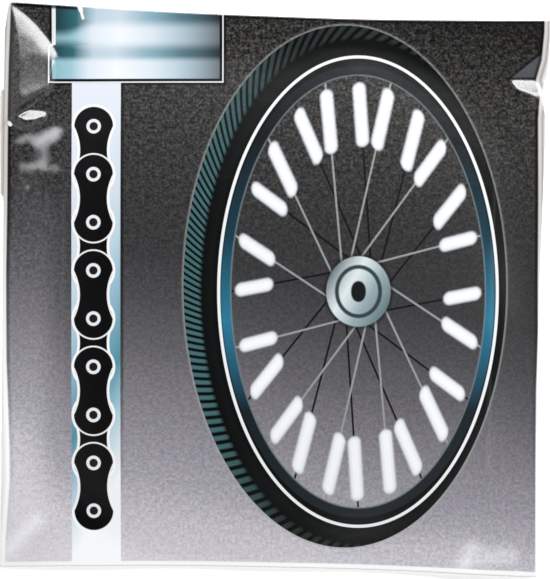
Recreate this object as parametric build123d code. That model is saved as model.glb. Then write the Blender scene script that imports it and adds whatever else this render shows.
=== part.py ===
"""A flat sealed film pouch of clip-on spoke reflector sticks, lying on its back.

Two sheets of film are welded together round a layer of sticks. Over the sticks they stand
apart as a low cushion, flat below where the pouch rests, and round it they are a thin welded
margin, with a flap along the top. The margin carries the waves, the tucked corner and the
pinched edge that handling leaves in thin film. +X is to the right across the front, +Y is up
the front and +Z is out of it. The origin is on the surface, under the middle of the pouch.
"""
from build123d import *
import math
import os

# Driving dimensions, in millimetres
POUCH_WIDTH = 110.0         # from film edge to film edge, across the front
POUCH_HEIGHT = 115.0        # from film edge to film edge, up the front
POUCH_THICKNESS = 5.0       # from the surface to the crown of the front film
FILM = 0.1                  # one sheet of film
WELD_LEVEL = 1.3            # height of the welded margin above the surface
SIDE_WELD = 2.0             # welded margin down each side
BOTTOM_WELD = 2.2           # welded margin along the bottom
HEADER = 9.7                # welded flap along the top, at the left corner
FLANK = 36.0                # run of loose film from the weld to the top of the sticks
BACK_SLACK = 0.4            # depth of back film that flattens on the surface

# How far the cut of the film is out of square
TOP_LEFT_IN = 1.8           # top left corner, in from the left
TOP_FALL = 3.7              # top right corner, below the top left
TOP_KNEE = 60.0             # the top edge levels off this far from the left
BOTTOM_LEFT_RISE = 2.0      # bottom left corner, above the bottom right
BOTTOM_RIGHT_IN = 2.7       # bottom right corner, in from the right
EDGE_BOW = 0.6              # inward bow of the long film edges
CORNER_DROP = 5.6           # the left edge turns in to the top left corner from here, below it
CORNER_IN = 0.95            # where it turns, in from the left
STRIP_DROP = 18.3           # a strip of back film stands out of the left edge, below the corner
STRIP_LENGTH = 20.8         # its length down the edge
STRIP_IN = 0.1              # its outer edge, in from the left

# Waves of the slack film edges
WAVE_HEIGHT = 0.35          # above and below the weld level
WAVE_LENGTH = 37.0          # from crest to crest
WAVE_REACH = 16.0           # how far in from the edge they die out

# The pinched spot on the right edge, where the margin is folded in
PINCH_DROP = 11.5           # below the top right corner
PINCH_HALF = 4.0            # from the pinch to where the edge is straight again
PINCH_IN = 1.1              # how far the edge is drawn in
PINCH_REACH = 7.0           # length of the fold, in from the edge
PINCH_DEPTH = 0.9           # how far the fold sinks

# The tucked top left corner, a tent in both sheets
TUCK_HEIGHT = 2.3           # of its peak, above the weld level
TUCK_DROP = 19.5            # from the corner down to its peak
TUCK_IN = 3.8               # from the left, in to its peak
TUCK_FOLD = 10.0            # its upper fold, from the corner inwards and down
TUCK_CREST = 10.6           # its lower crest, in from the peak
TUCK_CREST_RISE = 5.4       # how much higher up the front the crest's inner end is
TUCK_FOOT = 4.0             # from the peak down to flat film

# Puckers in the front sheet, beside the left weld
PUCKER_HEIGHT = 0.7
PUCKER_RUN = 12.0           # length, in from the weld
PUCKER_RISE = 2.6           # how much higher up the front the inner end is
PUCKER_HALF = 3.2           # half of the width
PUCKER_DROPS = (24.0, 29.0, 35.5)   # middles, below the top left corner

# Swells of slack film in the bottom corners
SWELL_HEIGHT = 0.75
SWELL_REACH = 12.0          # of the left one, up and in from its corner
SWELL_RUN = 18.0            # of the right one, along the bottom
SWELL_RISE = 4.0            # of the right one, towards its corner
SWELL_HALF = 4.6            # half of the width

# A sheet is a smooth surface through heights taken at this spacing, with rounded creases
NET_STEP = 2.0
NET_OVERHANG = 3.0          # past the cut of the film on every side
CREASE_PASSES = 2           # times that each height is averaged with its neighbours

LEFT = -POUCH_WIDTH / 2
RIGHT = POUCH_WIDTH / 2
BOTTOM = -POUCH_HEIGHT / 2
TOP = POUCH_HEIGHT / 2
TOP_LEFT = (LEFT + TOP_LEFT_IN, TOP)
TOP_RIGHT = (RIGHT, TOP - TOP_FALL)
BOTTOM_LEFT = (LEFT, BOTTOM + BOTTOM_LEFT_RISE)
BOTTOM_RIGHT = (RIGHT - BOTTOM_RIGHT_IN, BOTTOM)
PINCH_Y = TOP_RIGHT[1] - PINCH_DROP

# The weld line round the filled part, a rectangle with corners as round as the flank is long
WELD_LEFT = LEFT + SIDE_WELD
WELD_RIGHT = BOTTOM_RIGHT[0] - SIDE_WELD
WELD_BOTTOM = BOTTOM_LEFT[1] + BOTTOM_WELD
WELD_TOP = TOP - HEADER


def fade(distance, reach):
    """1 at no distance, 0 past reach, and a smooth fall between."""
    part = min(max(distance / reach, 0.0), 1.0)
    return 1 - part * part * (3 - 2 * part)


def tent(x, y, peak, base):
    """Height of a flat-sided tent of film: 1 at its peak, 0 along its base polygon and outside."""
    for start, end in zip(base, base[1:] + base[:1]):
        ax, ay = start[0] - peak[0], start[1] - peak[1]
        bx, by = end[0] - peak[0], end[1] - peak[1]
        px, py = x - peak[0], y - peak[1]
        area = ax * by - ay * bx
        to_start = (px * by - py * bx) / area
        to_end = (ax * py - ay * px) / area
        if to_start >= 0 and to_end >= 0:
            return max(0.0, 1 - to_start - to_end)
    return 0.0


def ridge(x, y, start, end, half):
    """Height of a soft ridge of film: 1 at its middle, 0 at its ends and past half its width."""
    run_x, run_y = end[0] - start[0], end[1] - start[1]
    length = math.hypot(run_x, run_y)
    along = ((x - start[0]) * run_x + (y - start[1]) * run_y) / length**2
    aside = ((y - start[1]) * run_x - (x - start[0]) * run_y) / length
    return max(0.0, 4 * along * (1 - along)) * fade(abs(aside), half)


def edge_wave(x, y):
    """Rise and fall of the slack film edges."""
    turn = 2 * math.pi / WAVE_LENGTH
    sides = fade(min(x - LEFT, RIGHT - x), WAVE_REACH) * math.sin(turn * (y + x / 2))
    ends = fade(min(y - BOTTOM, TOP - y), WAVE_REACH) * math.cos(turn * x)
    return WAVE_HEIGHT * (sides + ends)


def tucked_corner(x, y):
    """The top left corner, lifted beside the left edge and folded down towards the flap."""
    corner_x, corner_y = TOP_LEFT
    peak_x, peak_y = LEFT + TUCK_IN, corner_y - TUCK_DROP
    base = [
        TOP_LEFT,
        (LEFT, peak_y),
        (peak_x, peak_y - TUCK_FOOT),
        (peak_x + TUCK_CREST, peak_y + TUCK_CREST_RISE),
        (corner_x + TUCK_FOLD, corner_y - TUCK_FOLD),
    ]
    return TUCK_HEIGHT * tent(x, y, (peak_x, peak_y), base)


def pinched_edge(x, y):
    """The valley that the pinch folds into the right margin."""
    past_edge = RIGHT + NET_OVERHANG
    base = [
        (RIGHT - PINCH_REACH, PINCH_Y),
        (past_edge, PINCH_Y - PINCH_HALF),
        (past_edge + NET_OVERHANG, PINCH_Y),
        (past_edge, PINCH_Y + PINCH_HALF),
    ]
    return PINCH_DEPTH * tent(x, y, (RIGHT, PINCH_Y), base)


def slack_ridges(x, y):
    """Ridges of the front sheet: puckers beside the left weld and a swell in each bottom corner."""
    height = 0.0
    for drop in PUCKER_DROPS:
        outer_end = (WELD_LEFT, TOP - drop - PUCKER_RISE / 2)
        inner_end = (WELD_LEFT + PUCKER_RUN, TOP - drop + PUCKER_RISE / 2)
        height += PUCKER_HEIGHT * ridge(x, y, outer_end, inner_end, PUCKER_HALF)
    inside_left = (BOTTOM_LEFT[0] + SWELL_REACH, BOTTOM_LEFT[1] + SWELL_REACH)
    beside_right = (BOTTOM_RIGHT[0] - SWELL_RUN, BOTTOM)
    near_right = (BOTTOM_RIGHT[0], BOTTOM + SWELL_RISE)
    height += SWELL_HEIGHT * ridge(x, y, inside_left, BOTTOM_LEFT, SWELL_HALF)
    height += SWELL_HEIGHT * ridge(x, y, beside_right, near_right, SWELL_HALF)
    return height


def weld_height(x, y):
    """The surface in which the two sheets are welded."""
    return WELD_LEVEL + edge_wave(x, y) + tucked_corner(x, y) - pinched_edge(x, y)


def fullness(x, y):
    """How far the sheets stand apart: 1 over the sticks, 0 on the weld line, less outside it."""
    past_x = abs(x - (WELD_LEFT + WELD_RIGHT) / 2) - (WELD_RIGHT - WELD_LEFT) / 2 + FLANK
    past_y = abs(y - (WELD_BOTTOM + WELD_TOP) / 2) - (WELD_TOP - WELD_BOTTOM) / 2 + FLANK
    inside = FLANK - math.hypot(max(past_x, 0.0), max(past_y, 0.0))
    part = inside / FLANK
    return 1.5 * part - 0.5 * max(part, 0.0) ** 3


def front_height(x, y):
    """Outer face of the front sheet."""
    crown = POUCH_THICKNESS - WELD_LEVEL
    return weld_height(x, y) + crown * fullness(x, y) + slack_ridges(x, y)


def back_height(x, y):
    """Outer face of the back sheet, as it would hang if nothing held it up."""
    return weld_height(x, y) - (WELD_LEVEL + BACK_SLACK) * fullness(x, y)


def margin_underside(x, y):
    """Lower face of the welded margin."""
    return weld_height(x, y) - FILM


def eased(rows):
    """Rows of heights, with each height averaged with its neighbours in the row."""
    longer = [[row[0], *row, row[-1]] for row in rows]
    return [[(a + 2 * b + c) / 4 for a, b, c in zip(row, row[1:], row[2:])] for row in longer]


def turned(rows):
    """The columns of some rows, as rows."""
    return [list(column) for column in zip(*rows)]


def sheet(height):
    """A smooth film surface through a net of heights that reaches past the cut of the film."""
    columns = math.ceil((POUCH_WIDTH + 2 * NET_OVERHANG) / NET_STEP)
    rows = math.ceil((POUCH_HEIGHT + 2 * NET_OVERHANG) / NET_STEP)
    xs = [(column - columns / 2) * NET_STEP for column in range(columns + 1)]
    ys = [(row - rows / 2) * NET_STEP for row in range(rows + 1)]
    heights = [[height(x, y) for y in ys] for x in xs]
    for _ in range(CREASE_PASSES):
        heights = turned(eased(turned(eased(heights))))
    net = [[(x, y, z) for y, z in zip(ys, column)] for x, column in zip(xs, heights)]
    return Face.make_surface_from_array_of_points(net)


def cut_outline():
    """The cut of the film, seen from the front."""
    top_edge = Spline(TOP_LEFT, (LEFT + TOP_KNEE, TOP_RIGHT[1] + EDGE_BOW), TOP_RIGHT)
    pinch_edge = Polyline(
        TOP_RIGHT,
        (RIGHT - EDGE_BOW, PINCH_Y + PINCH_HALF),
        (RIGHT - EDGE_BOW - PINCH_IN, PINCH_Y),
        (RIGHT - EDGE_BOW, PINCH_Y - PINCH_HALF),
    )
    right_edge = Spline(pinch_edge @ 1, (BOTTOM_RIGHT[0] + EDGE_BOW, 0), BOTTOM_RIGHT)
    bottom_edge = Spline(BOTTOM_RIGHT, (0, BOTTOM_LEFT[1]), BOTTOM_LEFT)
    corner_turn = (LEFT + CORNER_IN, TOP - CORNER_DROP)
    left_edge = Spline(BOTTOM_LEFT, (LEFT + EDGE_BOW, 0), corner_turn)
    corner_edge = Line(corner_turn, TOP_LEFT)
    strip = Pos(LEFT + STRIP_IN, TOP - STRIP_DROP) * Rectangle(
        2 * SIDE_WELD, STRIP_LENGTH, align=(Align.MIN, Align.MAX)
    )
    edges = top_edge + pinch_edge + right_edge + bottom_edge + left_edge + corner_edge
    return make_face(edges) + strip


def sealed_pouch():
    """The welded margin and the filled cushion, cut to the film's outline above the surface."""
    depth = 2 * POUCH_THICKNESS
    down = (0, 0, -depth)
    room = extrude(cut_outline(), amount=depth, dir=(0, 0, 1))
    margin = Solid.extrude(sheet(margin_underside), (0, 0, 2 * FILM))
    below_front = Solid.extrude(sheet(front_height), down)
    below_back = Solid.extrude(sheet(back_height), down)
    cushion = (room & below_front) - below_back
    return cushion + (room & margin)


os.makedirs("parts", exist_ok=True)
export_step(sealed_pouch(), "parts/sealed_pouch.step")
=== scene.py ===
"""Looks of the sealed film pouch: creased glossy film, printed in front and white behind.

Lengths are in millimetres in the part's own frame until a mesh is written, where MM turns them
into metres. The print is drawn by shader nodes on the flat film, so that it bends with the folds.
"""
import math

import bpy
import numpy as np
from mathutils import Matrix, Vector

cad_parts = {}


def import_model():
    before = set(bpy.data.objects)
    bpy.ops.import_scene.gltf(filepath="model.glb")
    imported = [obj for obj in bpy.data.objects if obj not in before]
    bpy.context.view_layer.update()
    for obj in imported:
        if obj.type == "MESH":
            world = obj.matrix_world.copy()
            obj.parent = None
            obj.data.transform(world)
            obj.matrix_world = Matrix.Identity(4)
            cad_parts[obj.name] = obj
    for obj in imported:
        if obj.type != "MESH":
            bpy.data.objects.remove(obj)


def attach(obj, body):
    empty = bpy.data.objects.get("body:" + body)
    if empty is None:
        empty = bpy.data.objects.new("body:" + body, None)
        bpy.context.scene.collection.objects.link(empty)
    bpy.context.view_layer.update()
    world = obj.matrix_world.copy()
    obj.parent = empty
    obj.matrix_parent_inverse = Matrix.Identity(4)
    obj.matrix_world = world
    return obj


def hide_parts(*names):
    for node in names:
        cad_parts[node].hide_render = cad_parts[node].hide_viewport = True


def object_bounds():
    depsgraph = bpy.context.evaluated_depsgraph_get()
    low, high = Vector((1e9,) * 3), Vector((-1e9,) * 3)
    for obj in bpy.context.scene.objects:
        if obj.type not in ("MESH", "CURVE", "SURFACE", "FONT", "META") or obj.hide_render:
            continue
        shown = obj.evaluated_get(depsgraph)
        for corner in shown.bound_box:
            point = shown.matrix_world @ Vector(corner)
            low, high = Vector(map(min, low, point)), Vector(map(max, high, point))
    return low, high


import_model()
cad_low, cad_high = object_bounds()

MM = 0.001

# The film's extent, from the frame
LEFT, BOTTOM = cad_low.x / MM, cad_low.y / MM
RIGHT, TOP = cad_high.x / MM, cad_high.y / MM
CROWN = cad_high.z / MM

# Film and weld, as in the solid
FILM = 0.1
WELD_LEVEL = 1.3
SIDE_WELD = 2.0
BOTTOM_WELD = 2.2
HEADER = 9.7
FLANK = 36.0
BACK_SLACK = 0.4
WELD_ROUND = 0.2

# The cut of the film, as in the solid
TOP_LEFT_IN = 1.8
TOP_FALL = 3.7
TOP_KNEE = 60.0
BOTTOM_LEFT_RISE = 2.0
BOTTOM_RIGHT_IN = 2.7
EDGE_BOW = 0.6
CORNER_DROP = 5.6
CORNER_IN = 0.95
WAVE_HEIGHT = 0.35
WAVE_LENGTH = 37.0
WAVE_REACH = 16.0

# The photograph's scale and centre
PIXEL = 0.2
PHOTO_HEIGHT = 579
CENTRE_PX = (275, 289)

# Spacing of the film mesh: fine where the film is creased, coarse over the sticks
FINE = 0.25
COARSE = 0.95

# How far the fine mesh reaches in from each edge, and how often each sheet's creases are rounded
FINE_LEFT, FINE_RIGHT = 12.5, 10.0
FINE_BOTTOM, FINE_TOP = 3.0, 34.0
FRONT_ROUNDING, BACK_ROUNDING = 2, 1


def at(px, py):
    """The place on the film that shows at a pixel of the photograph."""
    return ((px - CENTRE_PX[0]) * PIXEL, (CENTRE_PX[1] - py) * PIXEL)


# Film form


def fade(distance, reach):
    """1 at no distance, 0 past reach, and a smooth fall between."""
    part = np.clip(distance / reach, 0.0, 1.0)
    return 1 - part * part * (3 - 2 * part)


def bent(distance, round_off):
    """0 for distances below 0 and the distance itself above, with a rounded bend between."""
    return round_off * np.logaddexp(0.0, distance / round_off)


def through(x, points):
    """The parabola through three points, at x."""
    (x0, y0), (x1, y1), (x2, y2) = points
    return (
        y0 * (x - x1) * (x - x2) / ((x0 - x1) * (x0 - x2))
        + y1 * (x - x0) * (x - x2) / ((x1 - x0) * (x1 - x2))
        + y2 * (x - x0) * (x - x1) / ((x2 - x0) * (x2 - x1))
    )


TOP_LEFT = (LEFT + TOP_LEFT_IN, TOP)
TOP_RIGHT = (RIGHT, TOP - TOP_FALL)
BOTTOM_LEFT = (LEFT, BOTTOM + BOTTOM_LEFT_RISE)
BOTTOM_RIGHT = (RIGHT - BOTTOM_RIGHT_IN, BOTTOM)

# The pinch in the right edge
PINCH_Y = at(0, 78)[1]
PINCH_IN = 1.2
PINCH_HALF = 4.2

# The strip of back film that stands out of the left edge
STRIP_TOP, STRIP_FOOT = TOP - 18.3, TOP - 39.1
STRIP_IN = 0.1
STRIP_STEP = 0.6
STRIP_DEPTH = 2.5


def weld_edge(y):
    """The left edge without the strip: a slight bow that turns in to the top left corner."""
    turn_x, turn_y = LEFT + CORNER_IN, TOP - CORNER_DROP
    bow = through(y, [(BOTTOM_LEFT[1], LEFT), (0, LEFT + EDGE_BOW), (turn_y, turn_x)])
    corner = turn_x + (TOP_LEFT[0] - turn_x) * (y - turn_y) / CORNER_DROP
    return np.where(y < turn_y, bow, corner)


def left_edge(y):
    """The left edge, with the strip of back film that stands out of it."""
    beyond = np.maximum(np.maximum(y - STRIP_TOP, STRIP_FOOT - y), 0)
    strip = fade(beyond, STRIP_STEP)
    return weld_edge(y) * (1 - strip) + (LEFT + STRIP_IN) * strip


def right_edge(y):
    """The right edge: a slight bow with the notch of the pinch in it."""
    points = [(BOTTOM, BOTTOM_RIGHT[0]), (0, BOTTOM_RIGHT[0] + EDGE_BOW), (TOP_RIGHT[1], RIGHT)]
    pinched = PINCH_IN * np.clip(1 - np.abs(y - PINCH_Y) / PINCH_HALF, 0, 1)
    return through(np.minimum(y, TOP_RIGHT[1]), points) - pinched


def bottom_edge(x):
    """The bottom edge, which falls towards the right."""
    points = [(LEFT, BOTTOM_LEFT[1]), (0, BOTTOM_LEFT[1]), (BOTTOM_RIGHT[0], BOTTOM)]
    return np.maximum(through(x, points), BOTTOM)


def top_edge(x):
    """The top edge, which falls from the left corner and then levels out."""
    points = [TOP_LEFT, (LEFT + TOP_KNEE, TOP_RIGHT[1] + EDGE_BOW), TOP_RIGHT]
    return np.minimum(through(x, points), TOP)


def edge_wave(x, y):
    """Rise and fall of the slack film edges."""
    turn = 2 * math.pi / WAVE_LENGTH
    sides = fade(np.minimum(x - LEFT, RIGHT - x), WAVE_REACH) * np.sin(turn * (y + x / 2))
    ends = fade(np.minimum(y - BOTTOM, TOP - y), WAVE_REACH) * np.cos(turn * x)
    return WAVE_HEIGHT * (sides + ends)


def fullness(x, y):
    """How far the sheets stand apart: 1 over the sticks, 0 on the weld line, less outside it."""
    weld_left, weld_right = LEFT + SIDE_WELD, BOTTOM_RIGHT[0] - SIDE_WELD
    weld_bottom, weld_top = BOTTOM_LEFT[1] + BOTTOM_WELD, TOP - HEADER
    past_x = np.abs(x - (weld_left + weld_right) / 2) - (weld_right - weld_left) / 2 + FLANK
    past_y = np.abs(y - (weld_bottom + weld_top) / 2) - (weld_top - weld_bottom) / 2 + FLANK
    inside = FLANK - np.hypot(np.maximum(past_x, 0), np.maximum(past_y, 0))
    part = inside / FLANK
    return 1.5 * part - 0.5 * np.maximum(part, 0) ** 3


def facets(x, y, corners, strips):
    """Flat film facets: each strip is a band of triangles between named corners, by their heights."""
    height = np.zeros_like(x)
    for strip in strips:
        for names in zip(strip, strip[1:], strip[2:]):
            (ax, ay, az), (bx, by, bz), (cx, cy, cz) = (corners[name] for name in names)
            area = (bx - ax) * (cy - ay) - (by - ay) * (cx - ax)
            to_b = ((x - ax) * (cy - ay) - (y - ay) * (cx - ax)) / area
            to_c = ((bx - ax) * (y - ay) - (by - ay) * (x - ax)) / area
            to_a = 1 - to_b - to_c
            inside = (to_a >= 0) & (to_b >= 0) & (to_c >= 0)
            height = np.where(inside, to_a * az + to_b * bz + to_c * cz, height)
    return height


def swell(x, y, start, end, height, width):
    """A soft ridge of film from start to end."""
    run_x, run_y = end[0] - start[0], end[1] - start[1]
    length = math.hypot(run_x, run_y)
    along = ((x - start[0]) * run_x + (y - start[1]) * run_y) / length**2
    aside = ((y - start[1]) * run_x - (x - start[0]) * run_y) / length
    taper = np.clip(4 * along * (1 - along), 0, 1)
    return height * taper * np.exp(-0.5 * (aside / width) ** 2)


# The tucked corner: a cone of film below a fold, then a flap, ended by faces at its edge, foot and side
FOLD_CENTRE, FOLD_RADIUS = at(-64, 119), 27.8
FOLD_DIP, FOLD_REACH = 0.45, 8.0
DIP_FROM_FOOT, DIP_FROM_TIP = 10.0, 14.0
TUCK_SLOPE, TUCK_EASE = 0.358, 0.0138
TUCK_BEARING, TUCK_TURN = 25.0, 36.0
TUCK_FLAP = [(*at(20, 57), 2.23), (*at(50, 56), 0.9), (*at(25, 97), 1.9)]
TUCK_ROUND = 0.25
TUCK_EDGE = (at(7, 1), at(0, 97))
TUCK_EDGE_SLOPE = 0.57
TUCK_FOOT = (at(20, 114), at(50, 91.3))
TUCK_FOOT_SLOPE = 1.35
TUCK_SIDE = (at(52, 95), at(56.5, 50))
TUCK_SIDE_SLOPE = 1.6
TUCK_CREST = (at(8, 108), at(56, 86))
TUCK_CREST_HEIGHT, TUCK_CREST_WIDTH = 0.29, 1.27


def beside(x, y, line):
    """Distance to the left of a line, for someone who walks along it."""
    (start_x, start_y), (end_x, end_y) = line
    run_x, run_y = end_x - start_x, end_y - start_y
    return ((y - start_y) * run_x - (x - start_x) * run_y) / math.hypot(run_x, run_y)


def plane(x, y, points):
    """Height of the plane through three points, at a place."""
    rows = [(px, py, 1) for px, py, _ in points]
    rise_x, rise_y, level = np.linalg.solve(rows, [height for _, _, height in points])
    return rise_x * x + rise_y * y + level


def corner_tuck(x, y):
    """The top left corner, where the film sinks to a bowed fold and rises from it to a peak."""
    out_x, out_y = x - FOLD_CENTRE[0], y - FOLD_CENTRE[1]
    below_fold = FOLD_RADIUS - np.hypot(out_x, out_y)
    bearing = np.degrees(np.arctan2(out_x, out_y))
    above_foot = beside(x, y, TUCK_FOOT)
    from_tip = np.hypot(x - TOP_LEFT[0], y - TOP_LEFT[1])
    dip = FOLD_DIP * (1 - fade(above_foot, DIP_FROM_FOOT)) * (1 - fade(from_tip, DIP_FROM_TIP))
    run = np.maximum(below_fold, 0)
    aside = np.clip(bearing - TUCK_BEARING, -TUCK_TURN, TUCK_TURN)
    slope = TUCK_SLOPE / np.cos(np.radians(aside))
    cone = run * (slope - TUCK_EASE * run)
    cone = np.maximum(cone - bent(cone - plane(x, y, TUCK_FLAP), TUCK_ROUND), 0)
    cone = cone - dip * fade(-below_fold, FOLD_REACH)
    cone = cone + swell(x, y, *TUCK_CREST, TUCK_CREST_HEIGHT, TUCK_CREST_WIDTH)
    edge_face = TUCK_EDGE_SLOPE * np.maximum(beside(x, y, TUCK_EDGE), 0)
    foot_face = TUCK_FOOT_SLOPE * np.maximum(above_foot, 0)
    side_face = TUCK_SIDE_SLOPE * np.maximum(beside(x, y, TUCK_SIDE), 0)
    return np.minimum.reduce([cone, edge_face, foot_face, side_face])


def left_pucker(x, y):
    """The short sharp pucker that the left weld draws into the front film."""
    corners = {
        "valley": (*at(30, 108.8), 0.0),
        "right": (*at(48, 111.5), 0.04),
        "left": (*at(19.3, 117.5), 0.74),
        "crest_1": (*at(25, 121.5), 0.98),
        "crest_2": (*at(35, 120.5), 0.82),
        "crest_3": (*at(43, 117), 0.49),
        "west_1": (*at(10, 116), 0.0),
        "west_2": (*at(11, 123), 0.0),
        "foot_1": (*at(23, 132), 0.0),
        "foot_2": (*at(37, 130), 0.0),
        "foot_3": (*at(47, 122), 0.0),
    }
    strips = [
        ("left", "crest_1", "valley", "crest_2", "crest_3"),
        ("valley", "crest_3", "right", "foot_3"),
        ("valley", "left", "west_1", "west_2"),
        ("left", "west_2", "crest_1", "foot_1", "crest_2", "foot_2", "crest_3", "foot_3"),
    ]
    return facets(x, y, corners, strips)


def pinch(x, y):
    """The facets of the pinched right edge: a valley in from the edge, and a crest below it."""
    corners = {
        "tip": (*at(508, 78.5), 0.0),
        "upper": (*at(542, 52), 0.0),
        "far_upper": (*at(556, 40), 0.0),
        "valley": (*at(536, 78.5), -0.85),
        "far_valley": (*at(556, 78.5), -1.0),
        "crest_1": (*at(516.5, 89.5), 0.34),
        "crest_2": (*at(529, 93.5), 0.22),
        "spur": (*at(546, 94), -0.55),
        "far_spur": (*at(556, 94), -0.75),
        "foot_1": (*at(512, 97), 0.0),
        "foot_2": (*at(530, 108), 0.0),
        "foot_3": (*at(542, 101), -0.25),
        "far_foot": (*at(556, 114), 0.0),
    }
    strips = [
        ("tip", "upper", "valley", "far_upper", "far_valley"),
        ("tip", "crest_1", "valley", "crest_2", "spur"),
        ("valley", "spur", "far_valley", "far_spur"),
        ("tip", "foot_1", "crest_1", "foot_2", "crest_2", "foot_3", "spur", "far_foot", "far_spur"),
        ("foot_2", "foot_3", "far_foot"),
    ]
    return facets(x, y, corners, strips)


def top_nick(x, y):
    """A small crease in the top edge, over the plate."""
    corners = {
        "left": (*at(77, 5), 0.0),
        "right": (*at(84, 6), 0.0),
        "crest": (*at(84.5, 20), 0.95),
        "foot_1": (*at(79, 24), 0.0),
        "foot_2": (*at(90, 22), 0.0),
    }
    strips = [("left", "crest", "right"), ("left", "foot_1", "crest", "foot_2", "right")]
    return facets(x, y, corners, strips)


# Swells of slack front film, at the left weld, at the pinch and along the bottom: ends, height, width
SWELLS = [
    (at(8, 153), at(74, 132), 0.4, 1.4),
    (at(10, 178), at(72, 174), 0.35, 1.3),
    (at(33, 147), at(44, 167), 0.15, 0.8),
    (at(22, 189), at(32, 188), 0.15, 0.5),
    (at(509, 80), at(546, 49), 0.07, 0.3),
    (at(62, 508), at(4, 562), 0.7, 2.2),
    (at(440, 582), at(520, 560), 0.8, 2.4),
    (at(110, 524), at(300, 521), 0.12, 0.6),
]


def slack_wrinkles(x, y):
    """All the soft swells of the front film."""
    return sum(swell(x, y, *lie) for lie in SWELLS)


# Faint wrinkles all over the film: the length, direction and start of each wave, and their heights
WRINKLES = [
    (5.1, 0.4, 0.3),
    (4.3, 1.9, 1.1),
    (3.4, 2.8, 2.0),
    (6.3, 1.2, 4.1),
    (2.7, 0.9, 5.2),
]
WRINKLE_SWAY = 1.4
WRINKLE_SHARE, EDGE_WRINKLE_SHARE = 0.0005, 0.0006
EDGE_WRINKLE_REACH = 18.0


def crumple(x, y):
    """Faint wrinkles of thin film, stronger towards its edges."""
    height = np.zeros_like(x)
    for length, turn, start in WRINKLES:
        across = x * math.cos(turn) + y * math.sin(turn)
        aside = y * math.cos(turn) - x * math.sin(turn)
        phase = 2 * math.pi * across / length + start + WRINKLE_SWAY * np.sin(aside / length)
        height += length * np.sin(phase)
    from_edge = np.minimum(np.minimum(x - LEFT, RIGHT - x), np.minimum(y - BOTTOM, TOP - y))
    return height * (WRINKLE_SHARE + EDGE_WRINKLE_SHARE * fade(from_edge, EDGE_WRINKLE_REACH))


def weld_height(x, y):
    """The surface in which the two sheets are welded."""
    return WELD_LEVEL + edge_wave(x, y) + corner_tuck(x, y) + pinch(x, y) + top_nick(x, y)


def front_height(x, y):
    """Outer face of the front sheet."""
    rise = (CROWN - WELD_LEVEL) * fullness(x, y)
    puckers = left_pucker(x, y) + slack_wrinkles(x, y) + crumple(x, y)
    return weld_height(x, y) + np.maximum(bent(rise, WELD_ROUND), FILM) + puckers


def back_height(x, y):
    """Outer face of the back sheet, flat where it lies on the surface."""
    sag = (WELD_LEVEL + BACK_SLACK) * fullness(x, y)
    return np.maximum(weld_height(x, y) - np.maximum(sag, FILM), 0)


# Film mesh


def stations(low, high, fine_at_low, fine_at_high):
    """Grid lines from low to high, fine near both ends."""
    stretches = [
        (low, low + fine_at_low, FINE),
        (low + fine_at_low, high - fine_at_high, COARSE),
        (high - fine_at_high, high, FINE),
    ]
    lines = [np.linspace(a, b, round((b - a) / step), endpoint=False) for a, b, step in stretches]
    return np.append(np.concatenate(lines), high)


def rounded(heights, passes):
    """Heights with their sharp creases rounded over a mesh cell or two."""
    for _ in range(passes):
        padded = np.pad(heights, 1, mode="edge")
        across = (padded[:, :-2] + 2 * padded[:, 1:-1] + padded[:, 2:]) / 4
        heights = (across[:-2] + 2 * across[1:-1] + across[2:]) / 4
    return heights


def film_grid():
    """Places of the film's grid points, seen from the front, from the cut of the film."""
    columns = stations(LEFT, RIGHT, FINE_LEFT, FINE_RIGHT)
    rows = stations(BOTTOM, TOP, FINE_BOTTOM, FINE_TOP)
    flat_x, flat_y = np.meshgrid(columns, rows, indexing="ij")
    along = (flat_x - LEFT) / (RIGHT - LEFT)
    up = (flat_y - BOTTOM) / (TOP - BOTTOM)
    strip = (left_edge(flat_y) - weld_edge(flat_y)) * fade(flat_x - LEFT, STRIP_DEPTH)
    x = weld_edge(flat_y) * (1 - along) + right_edge(flat_y) * along + strip
    y = bottom_edge(flat_x) * (1 - up) + top_edge(flat_x) * up
    return x, y


# Where the print ends at the left and at the right, from the bottom up
PRINT_LEFT = [
    *(at(4.5, 579), at(5.4, 540), at(10, 480), at(9.8, 450), at(6.4, 360)),
    *(at(6.2, 270), at(7.6, 150), at(9, 60), at(10.8, 0)),
]
PRINT_RIGHT = [
    *(at(535, 579), at(536, 390), at(538, 330), at(538.3, 118), at(540, 96)),
    *(at(536.5, 79), at(541.8, 60), at(544.5, 32), at(545, 0)),
]
BOTTOM_MARGIN = 0.95
TOP_BLEED = 0.1


def line_x(y, points):
    """The place across, at y, of a line through points that are listed from the bottom up."""
    across, up = zip(*points)
    return np.interp(y, up, across)


def print_inset(x, y):
    """How far a point lies inside the printed field, in from the bare margins."""
    left = x - line_x(y, PRINT_LEFT)
    right = line_x(y, PRINT_RIGHT) - x
    bottom = y - bottom_edge(x) - BOTTOM_MARGIN
    top = top_edge(x) - y + TOP_BLEED
    return np.minimum.reduce([left, right, bottom, top])


# The front's and the back's share of the map that a bake of the film is drawn on
BAKE_EDGE = 0.005
BAKE_FRONT = (0.90, 0.94)
BAKE_BACK_FROM, BAKE_BACK_TO = 0.92, 0.995


def bake_places(x, y):
    """Places of the grid points on the bake map: the front large, the plain back narrow beside it."""
    along = (x - LEFT) / (RIGHT - LEFT)
    up = (y - BOTTOM) / (TOP - BOTTOM)
    front_u = BAKE_EDGE + along * (BAKE_FRONT[0] - BAKE_EDGE)
    back_u = BAKE_BACK_FROM + along * (BAKE_BACK_TO - BAKE_BACK_FROM)
    places_v = BAKE_EDGE + up * (BAKE_FRONT[1] - BAKE_EDGE)
    return np.concatenate([np.stack([u, places_v], -1).reshape(-1, 2) for u in (front_u, back_u)])


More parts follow.
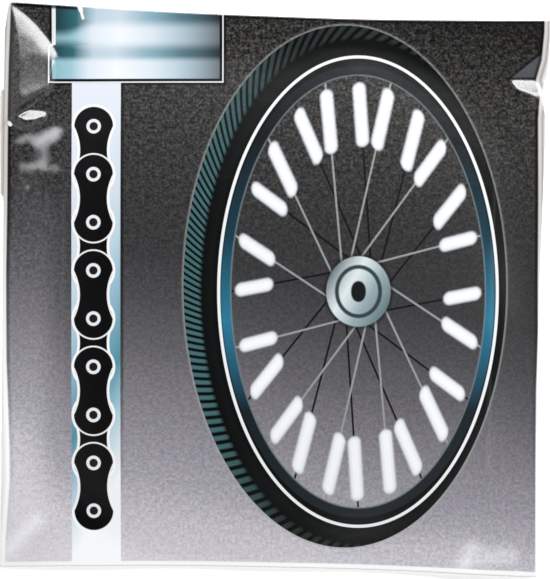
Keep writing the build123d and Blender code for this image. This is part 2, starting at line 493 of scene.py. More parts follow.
def set_uv(mesh, name, places):
    """A UV map from one place for each vertex."""
    corners = np.empty(len(mesh.loops), np.int32)
    mesh.loops.foreach_get("vertex_index", corners)
    layer = mesh.uv_layers.new(name=name)
    layer.uv.foreach_set("vector", places[corners].astype(np.float32).ravel())


def pouch_mesh():
    """One closed mesh: the front sheet, the back sheet and the cut edge between them."""
    x, y = film_grid()
    front = rounded(front_height(x, y), FRONT_ROUNDING)
    back = rounded(back_height(x, y), BACK_ROUNDING)
    columns, rows = x.shape
    count = columns * rows
    number = np.arange(count).reshape(columns, rows)
    corners = [number[:-1, :-1], number[1:, :-1], number[1:, 1:], number[:-1, 1:]]
    quads = np.stack(corners, -1).reshape(-1, 4)
    rim = np.concatenate([number[:, 0], number[-1, 1:], number[-2::-1, -1], number[0, -2:0:-1]])
    after = np.roll(rim, -1)
    edge = np.stack([rim, rim + count, after + count, after], -1)
    faces = np.concatenate([quads, quads[:, ::-1] + count, edge])
    sheets = [np.stack([x, y, height], -1).reshape(-1, 3) for height in (front, back)]
    mesh = bpy.data.meshes.new("film_pouch")
    mesh.from_pydata(np.concatenate(sheets) * MM, [], faces.tolist())
    mesh.polygons.foreach_set("use_smooth", np.ones(len(faces), bool))
    behind = np.arange(len(faces)) >= len(quads)
    mesh.polygons.foreach_set("material_index", behind.astype(np.int32))
    set_uv(mesh, "film", np.tile(np.stack([x, y], -1).reshape(-1, 2), (2, 1)))
    set_uv(mesh, "OFBake", bake_places(x, y))
    inset = mesh.attributes.new("print_inset", "FLOAT", "POINT")
    inset.data.foreach_set("value", np.tile(print_inset(x, y).ravel(), 2).astype(np.float32))
    mesh.validate()
    return mesh


# Print


def ink(red, green, blue):
    """A printed colour from its 0 to 255 display values, as linear RGBA."""
    parts = [value / 255 for value in (red, green, blue)]
    linear = [p / 12.92 if p <= 0.04045 else ((p + 0.055) / 1.055) ** 2.4 for p in parts]
    return (*linear, 1.0)


class Field:
    """A number that varies over the film: a node socket with arithmetic."""

    def __init__(self, tree, socket):
        self.tree = tree
        self.socket = socket

    def math(self, operation, *others):
        node = self.tree.nodes.new("ShaderNodeMath")
        node.operation = operation
        for place, value in zip(node.inputs, (self, *others)):
            feed(self.tree, place, value)
        return Field(self.tree, node.outputs[0])

    def __add__(self, other):
        return self.math("ADD", other)

    def __sub__(self, other):
        return self.math("SUBTRACT", other)

    def __rsub__(self, other):
        return (self * -1) + other

    def __mul__(self, other):
        return self.math("MULTIPLY", other)

    def __truediv__(self, other):
        return self.math("DIVIDE", other)

    def __abs__(self):
        return self.math("ABSOLUTE")

    def least(self, other):
        return self.math("MINIMUM", other)

    def most(self, other):
        return self.math("MAXIMUM", other)

    def root(self):
        return self.math("SQRT")

    def smooth(self, low, high):
        """0 up to low, 1 from high, and a smooth rise between. With low above high it falls."""
        node = self.tree.nodes.new("ShaderNodeMapRange")
        node.interpolation_type = "SMOOTHSTEP"
        falls = low > high
        feed(self.tree, node.inputs["Value"], self)
        node.inputs["From Min"].default_value = min(low, high)
        node.inputs["From Max"].default_value = max(low, high)
        node.inputs["To Min"].default_value = 1.0 if falls else 0.0
        node.inputs["To Max"].default_value = 0.0 if falls else 1.0
        return Field(self.tree, node.outputs["Result"])

    def cover(self, soft=0.09):
        """1 where the distance is under 0, with a soft printed edge."""
        return self.smooth(soft, -soft)


def feed(tree, socket, value):
    """Links a field or a socket into an input, or sets a constant there."""
    if isinstance(value, Field):
        tree.links.new(value.socket, socket)
    elif isinstance(value, bpy.types.NodeSocket):
        tree.links.new(value, socket)
    else:
        socket.default_value = value


def paint(tree, under, mask, over, strength=1.0, blend="MIX"):
    """The colour over laid on the colour under where mask is 1, as strongly as asked."""
    if strength < 1:
        mask = mask * strength
    node = tree.nodes.new("ShaderNodeMix")
    node.data_type = "RGBA"
    node.blend_type = blend
    sockets = [socket for socket in node.inputs if socket.enabled]
    for socket, value in zip(sockets, (mask, under, over)):
        feed(tree, socket, value)
    return next(socket for socket in node.outputs if socket.enabled)


def ramp(tree, field, stops):
    """Colours along a field, from rising stops of (place, colour), with places in the field's unit."""
    low, high = stops[0][0], stops[-1][0]
    node = tree.nodes.new("ShaderNodeValToRGB")
    feed(tree, node.inputs["Fac"], (field - low) / (high - low))
    elements = node.color_ramp.elements
    elements[0].color = stops[0][1]
    elements[1].color = stops[-1][1]
    for place, colour in stops[1:-1]:
        elements.new((place - low) / (high - low)).color = colour
    return node.outputs["Color"]


def noise(tree, place, scale, detail=2.0, roughness=0.5):
    """A noise texture over the film, with its size in features for each millimetre."""
    node = tree.nodes.new("ShaderNodeTexNoise")
    tree.links.new(place, node.inputs["Vector"])
    node.inputs["Scale"].default_value = scale
    node.inputs["Detail"].default_value = detail
    node.inputs["Roughness"].default_value = roughness
    return node


def segment(u, v, start, end):
    """Distance from the straight line between two points, as a field."""
    run_x, run_y = end[0] - start[0], end[1] - start[1]
    x, y = u - start[0], v - start[1]
    along = ((x * run_x + y * run_y) / (run_x**2 + run_y**2)).most(0).least(1)
    aside_x, aside_y = x - along * run_x, y - along * run_y
    return (aside_x * aside_x + aside_y * aside_y).root()


def stroke(u, v, start, end, half, soft):
    """1 on a soft straight stroke, 0 away from it."""
    return segment(u, v, start, end).smooth(half + soft, half - soft)


# The printed ground: its slant, the pale glow down its left and the glow along its foot
GROUND_SLANT, GROUND_SHIFT = 0.2, 3.7
LEFT_GLOW, LEFT_GLOW_LEAN = 10.0, 0.07
LEFT_GLOW_SIDE = (at(76, 0)[0], at(36, 0)[0])
LEFT_GLOW_FOOT = (-52.0, -42.0)
FOOT_GLOW = 3.0
FOOT_GLOW_RISE = (-43.0, -53.0)

# Painted highlights: soft pale streaks of glare painted on the ground in the bottom corners: ends, half
# width, softness, strength
PAINTED_HIGHLIGHTS = [
    (at(36, 520), at(10, 548), 1.0, 2.0, 0.65),
    (at(472, 548), at(464, 564), 1.0, 2.2, 0.6),
    (at(486, 555), at(510, 554), 1.0, 2.0, 0.35),
]


def ground(tree, u, v):
    """The printed ground: nearly black at the top, pale at the bottom and down the left, with painted
    highlights in the bottom corners.
    """
    left_side = (u - v * LEFT_GLOW_LEAN).smooth(*LEFT_GLOW_SIDE)
    left_glow = left_side * v.smooth(*LEFT_GLOW_FOOT) * LEFT_GLOW
    foot_glow = v.smooth(*FOOT_GLOW_RISE) * FOOT_GLOW
    depth = (RIGHT - u) * GROUND_SLANT - GROUND_SHIFT - v + left_glow + foot_glow
    stops = [
        (-54.0, ink(32, 30, 29)),
        (-48.0, ink(44, 43, 42)),
        (-40.0, ink(54, 53, 51)),
        (-4.0, ink(54, 54, 55)),
        (5.0, ink(58, 57, 59)),
        (14.0, ink(75, 74, 77)),
        (24.0, ink(99, 97, 102)),
        (33.0, ink(125, 122, 129)),
        (43.0, ink(150, 147, 156)),
        (50.0, ink(168, 165, 173)),
        (57.0, ink(194, 190, 199)),
        (68.0, ink(210, 207, 214)),
        (80.0, ink(228, 225, 231)),
    ]
    colour = ramp(tree, depth, stops)
    # Painted highlights: pale streaks stand in for glare in the bottom corners
    for *lie, strength in PAINTED_HIGHLIGHTS:
        colour = paint(tree, colour, stroke(u, v, *lie), ink(246, 245, 250), strength)
    return colour


# The wheel figure: a plain upright wheel, drawn from its rings
WHEEL = at(358, 291)
RIM_A, RIM_B = 25.4, 43.2
STRIPE_A, STRIPE_B = 27.8, 46.9
TYRE = at(345, 286)
TYRE_A, TYRE_B = 32.2, 52.2
SPOKES = 24
SPOKE_HALF = 0.2
STICK_FROM, STICK_TO = 0.66, 0.96
STICK_HALF, STICK_SOFT = 1.3, 0.34

# Its tyre: a tread of slanting lugs that is lit from the left, a plain wall and a pale outline
TYRE_LUGS = 150
LUG_SLANT, LUG_SIDE = 0.42, (0.12, 0.34)
TREAD_MIDDLE = 3.6
TREAD_LIGHT = (at(300, 0)[0], at(190, 0)[0])
WALL_SIDE = (4.2, 3.2)
OUTLINE_OUT, OUTLINE_SOFT = 0.1, 0.5

# Its rim, and the stripe round it
RIM_MIDDLE, RIM_HALF = 0.95, 1.0
RIM_LINE_HALF, RIM_SOFT = 0.16, 0.1
STRIPE_HALF = 0.3

# Its hub, whose groove and bore are set in from the edge
HUB_SHARE = 0.11
HUB_A, HUB_B = 6.4, 7.0
HUB_SHEEN_LEAN = 0.6
HUB_SHADE = 0.5
HUB_GROOVE, HUB_GROOVE_HALF = 2.1, 0.4
HUB_BORE = 4.9


def oval(u, v, centre, a, b):
    """Distance outside an ellipse, in millimetres, near its line."""
    x, y = u - centre[0], v - centre[1]
    share = (x * x / a**2 + y * y / b**2).root()
    slope = (x * x / a**4 + y * y / b**4).root()
    return (share - 1) * share / slope.most(1e-4)


def spokes(tree, u, v, lean, offset, line_colour, colour):
    """One set of spokes, tangent to the hub, with a reflector stick at the outer end of each."""
    x, y = (u - WHEEL[0]) / RIM_A, (v - WHEEL[1]) / RIM_B
    radius = (x * x + y * y).root().most(HUB_SHARE)
    angle = y.math("ARCTAN2", x)
    step = 2 * math.pi / (SPOKES / 2)
    tilt = math.acos(HUB_SHARE)
    bend = (radius.math("POWER", -1) * HUB_SHARE).math("ARCCOSINE") - tilt
    spoke = (((angle - bend * lean) / step - offset).math("ROUND") + offset) * step
    normal = spoke - lean * tilt
    swing = angle - normal
    across = abs(radius * swing.math("COSINE") - HUB_SHARE)
    along = radius * swing.math("SINE") * lean
    run_x, run_y = normal.math("SINE") * RIM_A, normal.math("COSINE") * RIM_B
    run = (run_x * run_x + run_y * run_y).root()
    aside = across * (RIM_A * RIM_B) / run
    line = (aside - SPOKE_HALF).cover() * (radius - 1).cover(soft=0.01)
    colour = paint(tree, colour, line, line_colour)
    middle, half = (STICK_FROM + STICK_TO) / 2, (STICK_TO - STICK_FROM) / 2
    past = ((abs(along - middle) - half) * run + STICK_HALF).most(0)
    stick = (past * past + aside * aside).root() - STICK_HALF
    body = ramp(tree, stick, [(-0.9, ink(246, 248, 252)), (0.1, ink(216, 220, 226))])
    return paint(tree, colour, stick.cover(STICK_SOFT), body)


def tyre(tree, u, v, outer, stripe):
    """Rubber with slanting lugs at the outside and a plain wall at the inside."""
    turn = (v - TYRE[1]).math("ARCTAN2", u - TYRE[0]) * (TYRE_LUGS / (2 * math.pi))
    lug = (turn + abs(outer + TREAD_MIDDLE) * LUG_SLANT).math("FRACT")
    raised = abs(lug - 0.5).smooth(*LUG_SIDE)
    top = paint(tree, ink(44, 50, 51), u.smooth(*TREAD_LIGHT), ink(74, 116, 121))
    tread = paint(tree, ink(2, 4, 4), raised, top, strength=0.85)
    wall = ramp(tree, stripe, [(0.3, ink(2, 3, 3)), (1.6, ink(14, 16, 17)), (3.6, ink(3, 4, 4))])
    return paint(tree, tread, stripe.smooth(*WALL_SIDE), wall)


def hub(tree, u, v, colour):
    """A plain turned hub, lit from the left."""
    shell = oval(u, v, WHEEL, HUB_A, HUB_B)
    sheen = [
        (-8.0, ink(84, 104, 110)),
        (-2.5, ink(222, 232, 234)),
        (2.5, ink(150, 170, 176)),
        (8.0, ink(96, 116, 122)),
    ]
    slant = u - WHEEL[0] - (v - WHEEL[1]) * HUB_SHEEN_LEAN
    groove = abs(shell + HUB_GROOVE) - HUB_GROOVE_HALF
    colour = paint(tree, colour, (shell - HUB_SHADE).cover(soft=0.5), ink(20, 24, 26), strength=0.7)
    colour = paint(tree, colour, shell.cover(soft=0.15), ramp(tree, slant, sheen))
    colour = paint(tree, colour, groove.cover(soft=0.2), ink(52, 66, 70))
    return paint(tree, colour, (shell + HUB_BORE).cover(soft=0.2), ink(22, 26, 28))


def wheel(tree, u, v, colour):
    """Spokes with sticks, hub, tyre and rim."""
    outer = oval(u, v, TYRE, TYRE_A, TYRE_B)
    stripe = oval(u, v, WHEEL, STRIPE_A, STRIPE_B)
    rim = oval(u, v, WHEEL, RIM_A, RIM_B)
    colour = spokes(tree, u, v, lean=1, offset=0.0, line_colour=ink(20, 21, 23), colour=colour)
    colour = spokes(tree, u, v, lean=-1, offset=0.5, line_colour=ink(150, 152, 153), colour=colour)
    colour = hub(tree, u, v, colour)
    outline = abs(outer - OUTLINE_OUT).smooth(OUTLINE_SOFT, 0.0)
    colour = paint(tree, colour, outline, ink(170, 172, 168), strength=0.45)
    ring = outer.cover() * rim.smooth(-RIM_SOFT, RIM_SOFT)
    colour = paint(tree, colour, ring, tyre(tree, u, v, outer, stripe))
    steel = [
        (-46.0, ink(30, 36, 40)),
        (-24.0, ink(24, 34, 40)),
        (-6.0, ink(44, 120, 150)),
        (10.0, ink(26, 60, 76)),
        (30.0, ink(16, 20, 24)),
        (46.0, ink(26, 34, 40)),
    ]
    well = (abs(rim - RIM_MIDDLE) - RIM_HALF).cover(soft=0.2)
    colour = paint(tree, colour, well, ramp(tree, v, steel))
    rim_line = (abs(rim) - RIM_LINE_HALF).cover()
    colour = paint(tree, colour, rim_line, ink(120, 132, 138), strength=0.6)
    return paint(tree, colour, (abs(stripe) - STRIPE_HALF).cover(), ink(240, 243, 245))


# Fields of the print that bleed off the film run this far past it
PAST_FILM = 20.0

# The bare plate at the top left, in a pale frame line with a dark line on either side
PLATE_LEFT, PLATE_RIGHT = at(48.3, 0)[0], at(223.6, 0)[0]
PLATE_FOOT = at(0, 82.4)[1]
PLATE_LINE, PLATE_RIM, PLATE_SHADE = 0.25, 0.55, 0.5

# How far the tuck shifts the plate's left edge, from which level up, and the wider line there
PLATE_SLIP, PLATE_WIDE_LINE = 0.7, 0.55
PLATE_SLIP_AT, PLATE_SLIP_SOFT = at(0, 45)[1], 0.3
PLATE_SLIP_SIDE = (-20.0, -30.0)

# The plate's sheen: its level, how sharp it is, and how it drops and narrows at the left
SHEEN_AT, SHEEN_SIDE = at(0, 34.5)[1], (0.9, 3.5)
SHEEN_LEFT = (at(92, 0)[0], at(60, 0)[0])
SHEEN_DROP, SHEEN_LOSS = 0.6, 1.4
DULL_FOOT = (SHEEN_AT - 5.6, SHEEN_AT - 4.0)

# The pale band down the left, with a thin shadow at its right, and the drive chain on it
BAND_LEFT, BAND_RIGHT = at(72, 0)[0], at(121, 0)[0]
BAND_SLANT = 1.75
BAND_SHADOW, BAND_SHADOW_RISE = 0.3, (-50.0, 0.0)
CHAIN_X = at(94, 0)[0]
CHAIN_TOP, CHAIN_FOOT = at(0, 126)[1], at(0, 510)[1]
CHAIN_LINKS = 8
CHAIN_PITCH = (CHAIN_TOP - CHAIN_FOOT) / CHAIN_LINKS
LINK_END, LINK_WAIST = 3.9, 1.2
HALO, INNER_HALO = 0.5, 0.3
RIVET, RIVET_BORE = 1.45, 0.85


def box(u, v, low_x, high_x, low_y, high_y):
    """Distance outside a rectangle."""
    across = abs(u - (low_x + high_x) / 2) - (high_x - low_x) / 2
    up = abs(v - (low_y + high_y) / 2) - (high_y - low_y) / 2
    return across.most(up)


def link(u, v, first):
    """Distance outside every second link plate of the chain, from the first one up."""
    count = (v - CHAIN_FOOT) / CHAIN_PITCH - first - 0.5
    last = (CHAIN_LINKS - 1 - first) // 2
    nearest = (count / 2).math("ROUND").most(0).least(last) * 2
    along = abs(count - nearest) * 2
    past = (along - 1).most(0) * (CHAIN_PITCH / 2)
    waist = (1 - along * along).most(0) * LINK_WAIST
    aside = u - CHAIN_X
    return (past * past + aside * aside).root() - LINK_END + waist


def chain(tree, u, v, colour):
    """A row of dark link plates with pale rivets, edged in white."""
    inner, outer = link(u, v, 1), link(u, v, 0)
    colour = paint(tree, colour, (inner.least(outer) - HALO).cover(soft=0.12), ink(253, 253, 255))
    colour = paint(tree, colour, inner.cover(), ink(3, 3, 4))
    colour = paint(tree, colour, (outer - INNER_HALO).cover(), ink(246, 247, 250))
    colour = paint(tree, colour, outer.cover(), ink(3, 3, 4))
    turn = ((v - CHAIN_FOOT) / CHAIN_PITCH).math("ROUND").most(0).least(CHAIN_LINKS)
    from_pin = v - CHAIN_FOOT - turn * CHAIN_PITCH
    aside = u - CHAIN_X
    rivet = (from_pin * from_pin + aside * aside).root()
    colour = paint(tree, colour, (rivet - RIVET).cover(), ink(236, 240, 246))
    return paint(tree, colour, (rivet - RIVET_BORE).cover(), ink(24, 26, 29))


def band(tree, u, v, colour):
    """The pale band: lilac white above, a teal stripe slanting across it, and white below."""
    field = box(u, v, BAND_LEFT, BAND_RIGHT, BOTTOM - PAST_FILM, PLATE_FOOT)
    shadow = (abs(u - BAND_RIGHT - BAND_SHADOW) - BAND_SHADOW).cover(soft=BAND_SHADOW)
    shadow = shadow * v.smooth(PLATE_FOOT, PLATE_FOOT - BAND_SHADOW) * v.smooth(*BAND_SHADOW_RISE)
    colour = paint(tree, colour, shadow, ink(14, 15, 17), strength=0.8)
    slant = v - (u - BAND_LEFT) * BAND_SLANT
    stops = [
        (-54.0, ink(248, 250, 253)),
        (-43.0, ink(192, 216, 228)),
        (-38.0, ink(152, 191, 207)),
        (-30.5, ink(84, 146, 163)),
        (-23.0, ink(118, 166, 183)),
        (-14.0, ink(155, 191, 208)),
        (-5.0, ink(192, 214, 227)),
        (4.0, ink(210, 222, 233)),
        (20.0, ink(224, 231, 241)),
        (41.0, ink(231, 236, 248)),
    ]
    return paint(tree, colour, field.cover(), ramp(tree, slant, stops))


def plate_step(u, v):
    """1 above the tuck, which hides a little of the plate, so that its left edge steps in there."""
    low, high = PLATE_SLIP_AT - PLATE_SLIP_SOFT, PLATE_SLIP_AT + PLATE_SLIP_SOFT
    return v.smooth(low, high) * u.smooth(*PLATE_SLIP_SIDE)


def plate_shade(tree, u, v, colour):
    """The dark line round the plate."""
    u = u - plate_step(u, v) * PLATE_SLIP
    edge = box(u, v, PLATE_LEFT, PLATE_RIGHT, PLATE_FOOT, TOP + PAST_FILM)
    return paint(tree, colour, (edge - PLATE_SHADE).cover(soft=0.3), ink(2, 2, 3), strength=0.95)


def plate(tree, u, v, colour):
    """The bare plate at the top left: polished metal, dull at its top and across its middle."""
    step = plate_step(u, v)
    u = u - step * PLATE_SLIP
    edge = box(u, v, PLATE_LEFT, PLATE_RIGHT, PLATE_FOOT, TOP + PAST_FILM)
    rim_left = step * PLATE_WIDE_LINE + (PLATE_LEFT + PLATE_LINE)
    rim = box(u, v, rim_left, PLATE_RIGHT - PLATE_LINE, PLATE_FOOT + PLATE_LINE, TOP + PAST_FILM)
    colour = paint(tree, colour, edge.cover(), ink(238, 239, 242))
    colour = paint(tree, colour, rim.cover(), ink(3, 6, 8))
    across = u - (PLATE_LEFT + PLATE_RIGHT) / 2
    bright = [
        (-16.5, ink(140, 186, 197)),
        (-13.0, ink(160, 203, 214)),
        (-9.5, ink(226, 236, 246)),
        (-4.0, ink(242, 246, 252)),
        (3.0, ink(216, 228, 238)),
        (9.0, ink(176, 196, 208)),
        (16.5, ink(106, 116, 122)),
    ]
    dull = [
        (-16.5, ink(32, 62, 70)),
        (-12.5, ink(50, 106, 118)),
        (-8.5, ink(190, 212, 224)),
        (-4.0, ink(204, 219, 229)),
        (2.0, ink(142, 177, 193)),
        (9.0, ink(84, 118, 130)),
        (16.5, ink(40, 50, 54)),
    ]
    left = u.smooth(*SHEEN_LEFT)
    from_sheen = abs(v - SHEEN_AT + left * SHEEN_DROP) + left * SHEEN_LOSS
    dullness = from_sheen.smooth(*SHEEN_SIDE) * v.smooth(*DULL_FOOT)
    fill = paint(tree, ramp(tree, across, bright), dullness, ramp(tree, across, dull))
    return paint(tree, colour, (rim + (1 - step) * PLATE_RIM).cover(), fill)


# Painted glints: small white spots on a nick in the left edge and on the small crease in the top edge:
# ends, half width
PAINTED_GLINTS = [
    (at(9, 122.5), at(10.5, 124), 0.38),
    (at(79.5, 5), at(81, 10), 0.42),
    (at(80.5, 8), at(83.2, 18), 0.26),
]


def painted_glints(tree, u, v, colour):
    """Painted glints: white spots where the nick and the top crease catch the light."""
    for start, end, half in PAINTED_GLINTS:
        glint = (segment(u, v, start, end) - half).cover(soft=0.15)
        # Painted glint: white stands in for light caught by the nick and the crease
        colour = paint(tree, colour, glint, ink(252, 252, 252))
    return colour


# The mottle of the print: its sizes, its amount below and the rise to its amount at the top
GRAIN_SCALES = (1.0, 2.0)
GRAIN_BASE, GRAIN_GAIN = 0.14, 0.8
GRAIN_RISE = (-10.0, 58.0)
GRAIN_CONTRAST = (0.15, 0.85)
GRAIN_TINT = 0.2


def grain(tree, place, v, colour, strength):
    """Fine mottle of the print, mostly grey and stronger on its dark upper part."""
    amount = (v.smooth(*GRAIN_RISE) * GRAIN_GAIN + GRAIN_BASE) * strength
    for scale in GRAIN_SCALES:
        mottle = noise(tree, place, scale, detail=1.0, roughness=0.6)
        grey = Field(tree, mottle.outputs["Fac"]).smooth(*GRAIN_CONTRAST)
        speckle = paint(tree, grey, GRAIN_TINT, mottle.outputs["Color"])
        colour = paint(tree, colour, amount, paint(tree, colour, 1.0, speckle, blend="OVERLAY"))
    return colour


# Gloss of the film, and the fine wrinkles that are left to bump
FILM_IOR, FILM_SPECULAR = 1.5, 1.0
BUMP_SCALE, BUMP_STRENGTH, BUMP_DEPTH = 0.5, 0.14, 0.1


def film_finish(tree, place, shader, roughness):
    """Gloss and fine wrinkles of a film."""
    feed(tree, shader.inputs["Roughness"], roughness)
    shader.inputs["IOR"].default_value = FILM_IOR
    shader.inputs["Specular IOR Level"].default_value = FILM_SPECULAR
    bump = tree.nodes.new("ShaderNodeBump")
    bump.inputs["Strength"].default_value = BUMP_STRENGTH
    bump.inputs["Distance"].default_value = BUMP_DEPTH * MM
    tree.links.new(noise(tree, place, BUMP_SCALE).outputs["Fac"], bump.inputs["Height"])
    tree.links.new(bump.outputs["Normal"], shader.inputs["Normal"])


def film_material(name, colour_of, roughness_of):
    """A glossy film whose colour and roughness come from functions of (tree, place on the film)."""
    material = bpy.data.materials.new(name)
    material.use_nodes = True
    tree = material.node_tree
    shader = tree.nodes["Principled BSDF"]
    film = tree.nodes.new("ShaderNodeUVMap")
    film.uv_map = "film"
    place = film.outputs["UV"]
    tree.links.new(colour_of(tree, place), shader.inputs["Base Color"])
    film_finish(tree, place, shader, roughness_of(tree, place))
    return material


def film_fields(tree, place):
    """The two flat coordinates of a place on the film."""
    parts = tree.nodes.new("ShaderNodeSeparateXYZ")
    tree.links.new(place, parts.inputs["Vector"])
    return Field(tree, parts.outputs["X"]), Field(tree, parts.outputs["Y"])


# The dull middle of the tucked flap: ends, half width, softness
TUCK_SCUFF = (at(24, 82), at(44, 76), 2.2, 2.2)
TUCK_ROUGHNESS = 0.3

# Strokes of crinkled film beside the left weld, rougher and with a painted highlight: ends, half width,
# softness, and how white the painted highlight is
CRINKLES_AND_HIGHLIGHTS = [
    (at(20, 139), at(34, 138), 0.7, 0.8, 0.28),
    (at(40, 142), at(56, 133), 1.15, 1.1, 0.6),
    (at(44, 146), at(43, 160), 0.9, 1.1, 0.26),
    (at(22, 166), at(44, 165), 0.6, 0.9, 0.26),
    (at(33, 168), at(42, 161), 0.8, 1.0, 0.2),
    (at(50, 168), at(56, 169), 0.6, 0.8, 0.14),
    (at(27, 186), at(28, 186), 0.35, 0.5, 0.3),
]
CRINKLE_ROUGHNESS = 0.4
RUFFLE, RUFFLE_SCALE = 2.0, 0.4

# Film that no handling has dulled
CLEAR_ROUGHNESS = 0.18
BACK_ROUGHNESS = 0.25


def crinkle_and_highlight_strokes(tree, place):
    """The strokes of crinkled film, with ruffled edges, each with how white its painted highlight is."""
    u, v = film_fields(tree, place)
    shift_u, shift_v = film_fields(tree, noise(tree, place, RUFFLE_SCALE).outputs["Color"])
    u, v = u + (shift_u - 0.5) * RUFFLE, v + (shift_v - 0.5) * RUFFLE
    return [(stroke(u, v, *lie), white) for *lie, white in CRINKLES_AND_HIGHLIGHTS]


# The pinch's valley and upper crease: a painted reflection on the film between them, and painted shade
# along both lines
PINCH_CREASE = (at(508, 79), at(542, 52))
PINCH_VALLEY = (at(508, 77.8), at(540, 77.2))
CREASE_SHADE_HALF, CREASE_SHADE_SOFT = 0.2, 0.2
PINCH_REFLECTION_SIDE = (-0.05, 0.12)


def creased(tree, place, colour):
    """Painted light and shade where handling has crinkled or bent the film: highlights on the crinkles,
    a reflection in the pinch, and shade along its crease and valley.
    """
    u, v = film_fields(tree, place)
    for mask, white in crinkle_and_highlight_strokes(tree, place):
        # Painted highlight: pale grey on the crinkles stands in for their soft glare
        colour = paint(tree, colour, mask, ink(208, 208, 211), white)
    # Painted reflection: blue grey on the film between the pinch's valley and its crease
    between = beside(u, v, PINCH_VALLEY).least(beside(u, v, PINCH_CREASE) * -1)
    colour = paint(tree, colour, between.smooth(*PINCH_REFLECTION_SIDE), ink(74, 80, 89), strength=0.75)
    # Painted shade: dark lines along the pinch's crease and valley
    for line in (PINCH_CREASE, PINCH_VALLEY):
        crease = stroke(u, v, *line, CREASE_SHADE_HALF, CREASE_SHADE_SOFT)
        colour = paint(tree, colour, crease, ink(6, 6, 7), strength=0.8)
    return colour


def front_roughness(tree, place):
    """Glossy film, duller on the tucked flap and where handling has crinkled it."""
    u, v = film_fields(tree, place)
    roughness = stroke(u, v, *TUCK_SCUFF) * (TUCK_ROUGHNESS - CLEAR_ROUGHNESS) + CLEAR_ROUGHNESS
    for mask, _ in crinkle_and_highlight_strokes(tree, place):
        roughness = roughness.most(mask * (CRINKLE_ROUGHNESS - CLEAR_ROUGHNESS) + CLEAR_ROUGHNESS)
    return roughness


def back_roughness(tree, place):
    """The same all over the back."""
    return BACK_ROUGHNESS


def inset_field(tree):
    """How far in from the bare margins a place on the film lies."""
    attribute = tree.nodes.new("ShaderNodeAttribute")
    attribute.attribute_name = "print_inset"
    return Field(tree, attribute.outputs["Fac"])


# The bare margins: how sharply the print ends, and where they turn from white below to grey above
PRINT_END = (0.18, -0.18)
MARGIN_RISE = (-14.0, 22.0)


def margins(tree, v, inset, colour):
    """Lays the bare margins round a colour: grey above and nearly white below, each with a line of
    painted shade along the film's edge.
    """
    # The darker grey in each ramp is painted shade along the edge of the film
    upper_stops = [
        (-1.8, ink(246, 245, 244)),
        (-1.3, ink(222, 219, 216)),
        (-0.85, ink(164, 160, 156)),
        (-0.5, ink(208, 205, 202)),
        (0.0, ink(212, 209, 206)),
    ]
    lower_stops = [(-1.8, ink(250, 250, 250)), (-1.25, ink(228, 227, 226)), (-0.6, ink(251, 251, 251))]
    upper, lower = ramp(tree, inset, upper_stops), ramp(tree, inset, lower_stops)
    bare = paint(tree, lower, v.smooth(*MARGIN_RISE), upper)
    return paint(tree, colour, inset.smooth(*PRINT_END), bare)


# Dark lines just inside the print's edge: one all round that fades downwards, and one over the plate's
# left that is painted shade where the tucked fold curls the top edge
EDGE_LINE, EDGE_LINE_RISE = (0.95, 0.4), (-60.0, 50.0)
FOLD_SHADE_LINE = (1.0, 0.5)
FOLD_SHADE_SIDE = (at(79, 0)[0], at(76, 0)[0])
FOLD_SHADE_RISE = (at(0, 30)[1], at(0, 20)[1])


def printed_colour(tree, place):
    """The whole print, with the bare margins round it."""
    u, v = film_fields(tree, place)
    inset = inset_field(tree)
    colour = grain(tree, place, v, ground(tree, u, v), strength=1.0)
    colour = wheel(tree, u, v, colour)
    colour = grain(tree, place, v, colour, strength=0.2)
    colour = creased(tree, place, colour)
    edge_line = inset.smooth(*EDGE_LINE) * v.smooth(*EDGE_LINE_RISE)
    colour = paint(tree, colour, edge_line, ink(3, 3, 3), strength=0.96)
    colour = plate_shade(tree, u, v, colour)
    colour = band(tree, u, v, colour)
    colour = chain(tree, u, v, colour)
    colour = plate(tree, u, v, colour)
    # Painted shade: a dark line where the fold curls the top edge over the plate
    fold_shade = u.smooth(*FOLD_SHADE_SIDE) * v.smooth(*FOLD_SHADE_RISE)
    colour = paint(tree, colour, inset.smooth(*FOLD_SHADE_LINE) * fold_shade, ink(3, 4, 5), strength=0.9)
    colour = painted_glints(tree, u, v, colour)
    return margins(tree, v, inset, colour)


# The back: its faint cloudiness, and the two weld lines across its top
CLOUD_SCALE = 0.09
BACK_WELD_PITCH, BACK_WELD_HALF = 2.0, 0.15
BACK_WELDS = (TOP - HEADER, TOP - HEADER + BACK_WELD_PITCH)


def white_colour(tree, place):
    """Plain white film, a little cloudy, with its weld lines and the bare margins round it."""
    _, v = film_fields(tree, place)
    inset = inset_field(tree)
    cloud = Field(tree, noise(tree, place, CLOUD_SCALE, detail=3.0).outputs["Fac"])
    colour = paint(tree, ink(222, 222, 222), cloud, ink(240, 240, 241))
    for level in BACK_WELDS:
        weld = (abs(v - level) - BACK_WELD_HALF).cover(soft=0.2)
        colour = paint(tree, colour, weld, ink(176, 175, 174), strength=0.5)
    return margins(tree, v, inset, colour)


pouch = bpy.data.objects.new("film_pouch", pouch_mesh())
bpy.context.scene.collection.objects.link(pouch)
pouch.data.materials.append(film_material("printed_front_film", printed_colour, front_roughness))
pouch.data.materials.append(film_material("white_back_film", white_colour, back_roughness))
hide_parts("sealed_pouch")
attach(pouch, "root")


# Stage, light and camera

FLOOR_HALF = 3000.0
FLOOR_GAP = 0.05
FLOOR_WHITE, FLOOR_GLOW = 0.96, 0.4


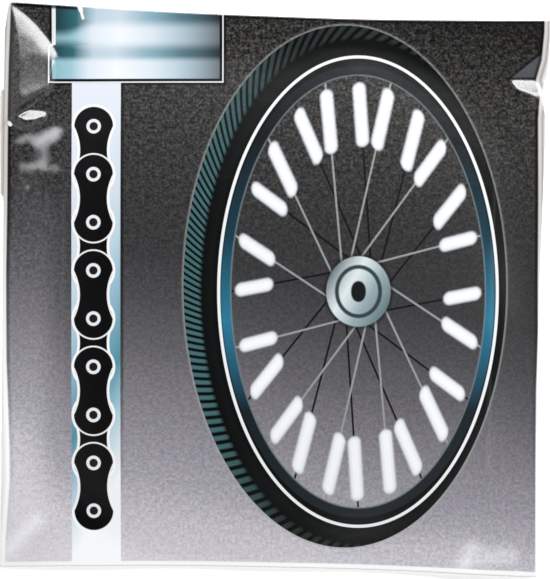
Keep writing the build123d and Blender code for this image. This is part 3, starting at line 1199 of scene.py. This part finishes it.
def floor():
    """A white light table just under the pouch."""
    half, level = FLOOR_HALF * MM, -FLOOR_GAP * MM
    mesh = bpy.data.meshes.new("floor")
    corners = [(-half, -half, level), (half, -half, level), (half, half, level), (-half, half, level)]
    mesh.from_pydata(corners, [], [(0, 1, 2, 3)])
    material = bpy.data.materials.new("white_floor")
    material.use_nodes = True
    shader = material.node_tree.nodes["Principled BSDF"]
    shader.inputs["Base Color"].default_value = (FLOOR_WHITE, FLOOR_WHITE, FLOOR_WHITE, 1)
    shader.inputs["Roughness"].default_value = 0.9
    shader.inputs["Specular IOR Level"].default_value = 0.1
    shader.inputs["Emission Color"].default_value = (1, 1, 1, 1)
    shader.inputs["Emission Strength"].default_value = FLOOR_GLOW
    mesh.materials.append(material)
    stage = bpy.data.objects.new("floor", mesh)
    bpy.context.scene.collection.objects.link(stage)


def softbox(name, azimuth, off_vertical, distance, width, height, radiance):
    """An area lamp, sized in metres, facing the pouch from a compass direction: 0 is +Y and 90 is +X."""
    lamp = bpy.data.lights.new(name, "AREA")
    lamp.shape = "RECTANGLE"
    lamp.size, lamp.size_y = width, height
    lamp.energy = radiance * math.pi * width * height
    turn, lean = math.radians(azimuth), math.radians(off_vertical)
    stand = bpy.data.objects.new(name, lamp)
    stand.location = (
        distance * math.sin(lean) * math.sin(turn),
        distance * math.sin(lean) * math.cos(turn),
        distance * math.cos(lean),
    )
    stand.rotation_euler = (-lean, 0, -turn)
    stand.rotation_mode = "XYZ"
    bpy.context.scene.collection.objects.link(stand)


def world():
    """A studio that is pale at the horizon and dark overhead, where flat film would mirror it."""
    made = bpy.data.worlds.new("studio")
    made.use_nodes = True
    tree = made.node_tree
    direction = tree.nodes.new("ShaderNodeTexCoord").outputs["Generated"]
    parts = tree.nodes.new("ShaderNodeSeparateXYZ")
    tree.links.new(direction, parts.inputs["Vector"])
    height = Field(tree, parts.outputs["Z"])
    stops = [(0.0, 0.95), (0.12, 0.95), (0.3, 0.5), (0.87, 0.45), (0.94, 0.03), (1.0, 0.03)]
    shade = ramp(tree, height, [(place, (value, value, value, 1)) for place, value in stops])
    tree.links.new(shade, tree.nodes["Background"].inputs["Color"])
    bpy.context.scene.world = made


def camera():
    """A long lens straight above the pouch, with the photograph's frame."""
    lens = bpy.data.cameras.new("camera")
    lens.lens = 200
    lens.clip_start, lens.clip_end = 0.01, 20
    distance = PHOTO_HEIGHT * PIXEL * MM * lens.lens / lens.sensor_width
    stand = bpy.data.objects.new("camera", lens)
    stand.location = (0.0, 0.0, distance + WELD_LEVEL * MM)
    bpy.context.scene.collection.objects.link(stand)
    bpy.context.scene.camera = stand


floor()
softbox("key_strip", azimuth=25, off_vertical=39, distance=1.0, width=1.4, height=0.23, radiance=11.5)
world()
camera()
bpy.context.scene.view_settings.view_transform = "Standard"
